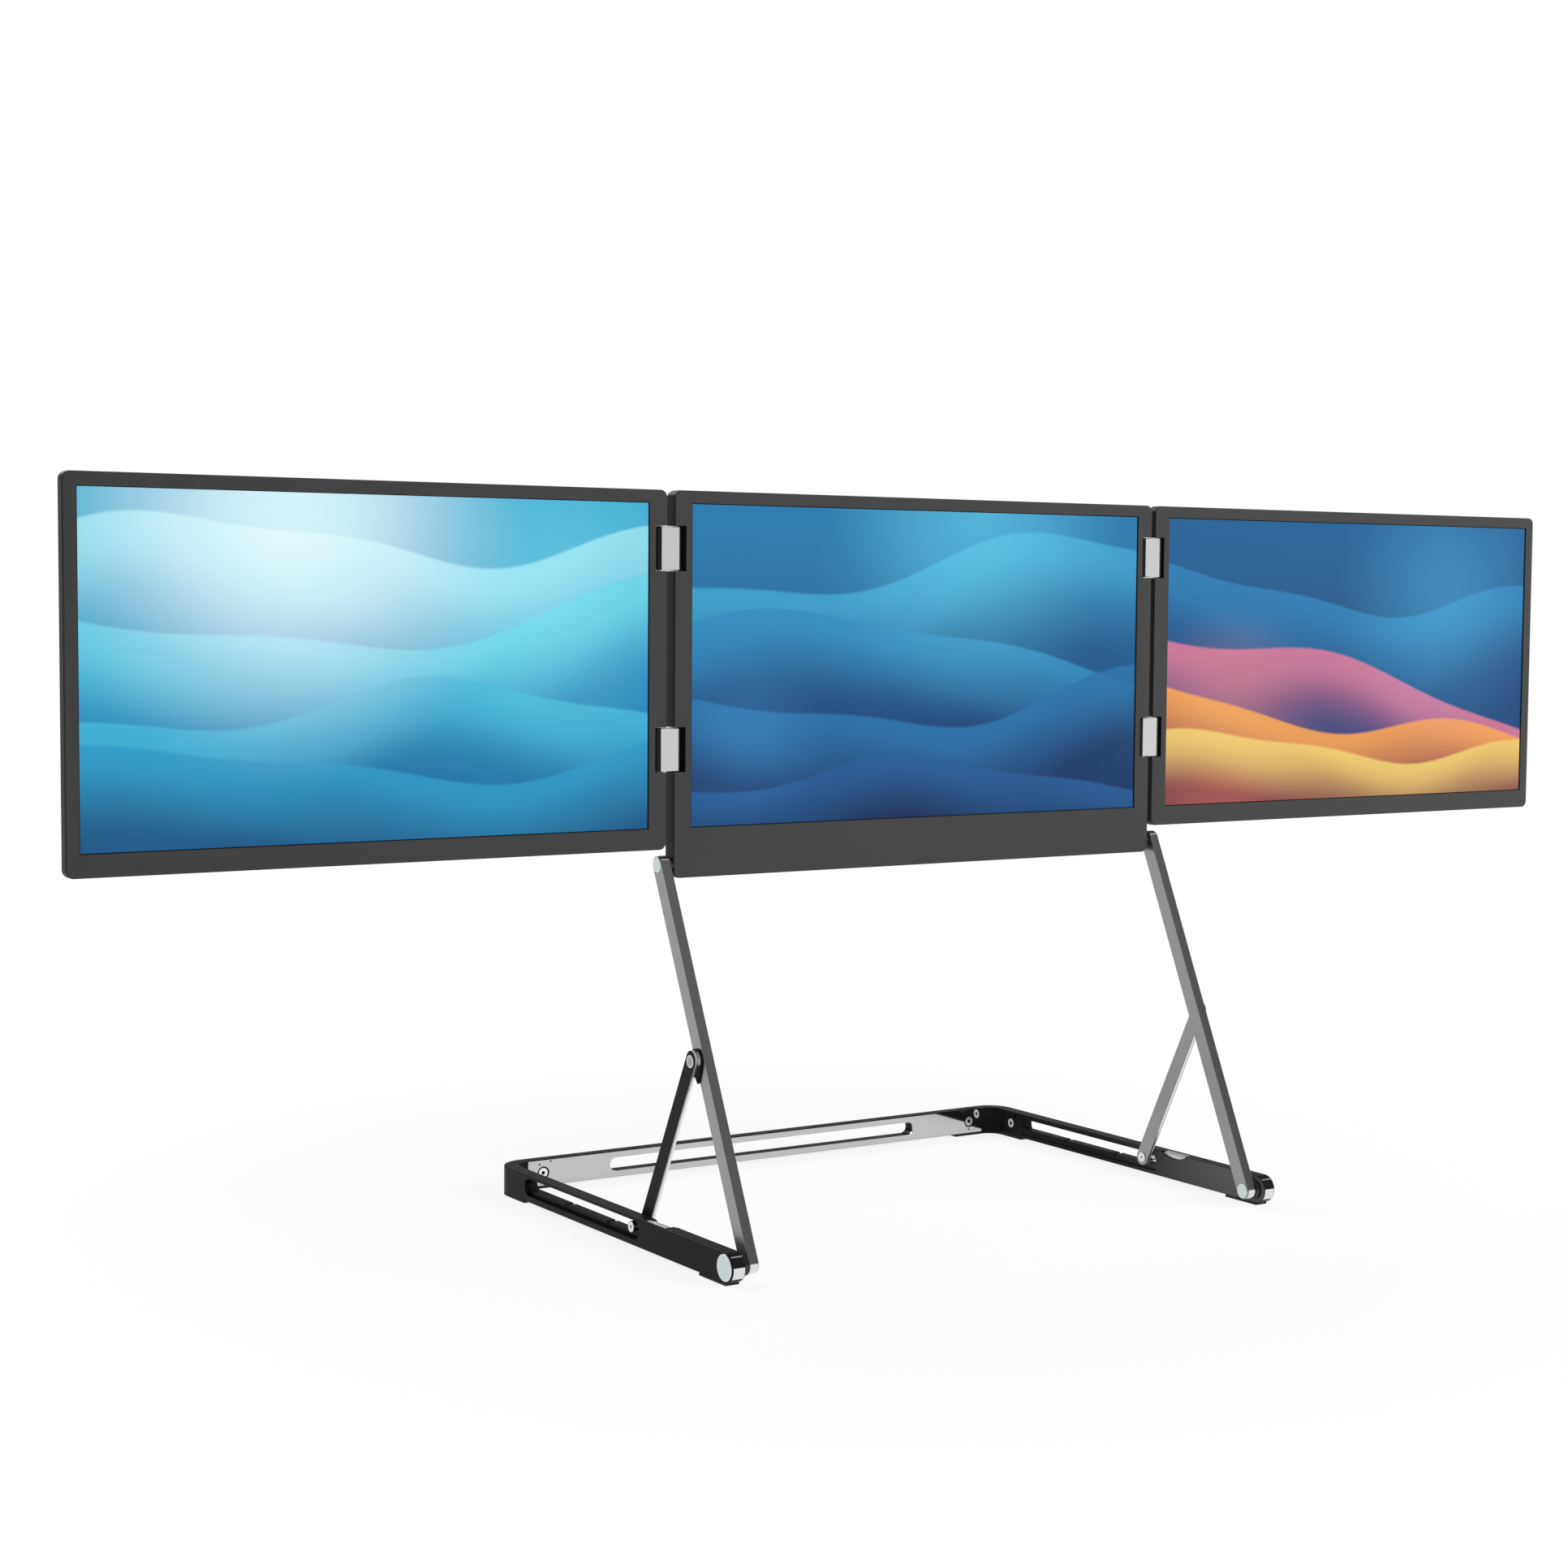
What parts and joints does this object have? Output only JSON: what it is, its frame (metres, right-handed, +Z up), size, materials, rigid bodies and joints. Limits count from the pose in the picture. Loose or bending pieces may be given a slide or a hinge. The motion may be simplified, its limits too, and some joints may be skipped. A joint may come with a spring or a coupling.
{
  "type": "laptop screen extender",
  "caption": "Side-hinged portable displays on a folding U-shaped stand with leaning arms, struts and a slotted base.",
  "frame": {"origin": "on the desk, midway across the stand and midway along the base's depth", "axes": "+X to the user's right, +Y to the back, away from the user, +Z up"},
  "size_m": [1.104, 0.298, 0.4536],
  "materials": {
    "base_black": "gloss black anodised",
    "polished_plate": "mirror polished",
    "dark_steel": "blackened",
    "bright_steel": "bright",
    "foot_rubber": "matte",
    "pale_caps": "satin, pale",
    "latch_silver": "satin",
    "arm_grey": "satin grey anodised",
    "strut_black": "gloss black anodised",
    "strut_satin": "satin grey anodised",
    "link_silver": "satin silver",
    "casing_grey": "fine matte grain",
    "display_glass": "semi-gloss display panel",
    "light_guide": "milky",
    "circuit_board": "solder mask",
    "button_plastic": "matte"
  },
  "bodies": {
    "base": {"left_side_bar": "base_black", "right_side_bar": "base_black", "rear_bar": "base_black", "rear_bar_plate": "polished_plate", "rear_plate_rivets": "dark_steel", "left_corner_block": "base_black", "right_corner_block": "base_black", "corner_screws": "bright_steel", "foot_pads": "foot_rubber", "knuckle_caps": "pale_caps", "arm_pivot_pins": "dark_steel", "knuckle_washers": "dark_steel", "left_latch_spring": "bright_steel", "right_latch_spring": "bright_steel"},
    "left_latch": {"left_latch": "latch_silver"},
    "right_latch": {"right_latch": "latch_silver"},
    "arms": {"left_arm": "arm_grey", "right_arm": "arm_grey", "strut_lugs": "base_black", "arm_lower_caps": "pale_caps", "arm_upper_caps": "pale_caps", "strut_pivot_pins": "bright_steel", "tilt_hinge_pins": "dark_steel"},
    "struts": {"left_strut": "strut_black", "right_strut": "strut_black", "strut_liners": "strut_satin", "slide_pins": "bright_steel"},
    "left_links": {"left_upper_link": "link_silver", "left_lower_link": "link_silver", "left_hinge_pins": "bright_steel"},
    "right_links": {"right_upper_link": "link_silver", "right_lower_link": "link_silver", "right_hinge_pins": "bright_steel"},
    "centre_panel": {"centre_rear_cover": "casing_grey", "centre_bezel": "casing_grey", "centre_display": "display_glass", "centre_backlight": "light_guide", "centre_board": "circuit_board", "centre_hinge_brackets": "dark_steel", "centre_cover_screws": "dark_steel", "usb_ports": "bright_steel", "video_port": "bright_steel", "tilt_hinge_hubs": "dark_steel"},
    "left_panel": {"left_rear_cover": "casing_grey", "left_bezel": "casing_grey", "left_display": "display_glass", "left_backlight": "light_guide", "left_board": "circuit_board", "left_hinge_brackets": "dark_steel", "left_cover_screws": "dark_steel"},
    "right_panel": {"right_rear_cover": "casing_grey", "right_bezel": "casing_grey", "right_display": "display_glass", "right_backlight": "light_guide", "right_board": "circuit_board", "right_hinge_brackets": "dark_steel", "right_cover_screws": "dark_steel"},
    "power_button": {"power_button": "button_plastic"},
    "brightness_up_button": {"brightness_up_button": "button_plastic"},
    "brightness_down_button": {"brightness_down_button": "button_plastic"}
  },
  "joints": [
    {"name": "arm_fold", "type": "hinge", "parent": "base", "child": "arms", "pos_m": [0, -0.14025, 0.0103], "axis": [-1, 0, 0], "range_deg": [0, 62]},
    {"name": "strut_swing", "type": "hinge", "parent": "arms", "child": "struts", "pos_m": [0, -0.08505, 0.11964], "axis": [-1, 0, 0], "range_deg": [-126, 0]},
    {"name": "panel_tilt", "type": "hinge", "parent": "arms", "child": "centre_panel", "pos_m": [0, -0.03888, 0.23087], "axis": [1, 0, 0], "range_deg": [-20, 90]},
    {"name": "left_link_swing", "type": "hinge", "parent": "centre_panel", "child": "left_links", "pos_m": [-0.18005, -0.03808, 0.29962], "axis": [0, 0, 1], "range_deg": [-90, 90]},
    {"name": "left_panel_swing", "type": "hinge", "parent": "left_links", "child": "left_panel", "pos_m": [-0.19205, -0.03808, 0.29962], "axis": [0, 0, 1], "range_deg": [-90, 90]},
    {"name": "right_link_swing", "type": "hinge", "parent": "centre_panel", "child": "right_links", "pos_m": [0.18005, -0.03808, 0.29962], "axis": [0, 0, 1], "range_deg": [-90, 90]},
    {"name": "right_panel_swing", "type": "hinge", "parent": "right_links", "child": "right_panel", "pos_m": [0.19205, -0.03808, 0.29962], "axis": [0, 0, 1], "range_deg": [-90, 90]},
    {"name": "left_latch_press", "type": "slide", "parent": "base", "child": "left_latch", "axis": [0, 0, -1], "range_m": [0, 0.0015], "stiffness_N_per_m": 600, "deforming": ["left_latch_spring"]},
    {"name": "right_latch_press", "type": "slide", "parent": "base", "child": "right_latch", "axis": [0, 0, -1], "range_m": [0, 0.0015], "stiffness_N_per_m": 600, "deforming": ["right_latch_spring"]},
    {"name": "power_press", "type": "slide", "parent": "centre_panel", "child": "power_button", "axis": [0, 0, 1], "range_m": [0, 0.0008], "stiffness_N_per_m": 400},
    {"name": "brightness_up_press", "type": "slide", "parent": "centre_panel", "child": "brightness_up_button", "axis": [0, 0, 1], "range_m": [0, 0.0008], "stiffness_N_per_m": 400},
    {"name": "brightness_down_press", "type": "slide", "parent": "centre_panel", "child": "brightness_down_button", "axis": [0, 0, 1], "range_m": [0, 0.0008], "stiffness_N_per_m": 400}
  ],
  "couplings": [
    {"joint": "strut_swing", "follows": "arm_fold", "ratio": -2.0195}
  ]
}
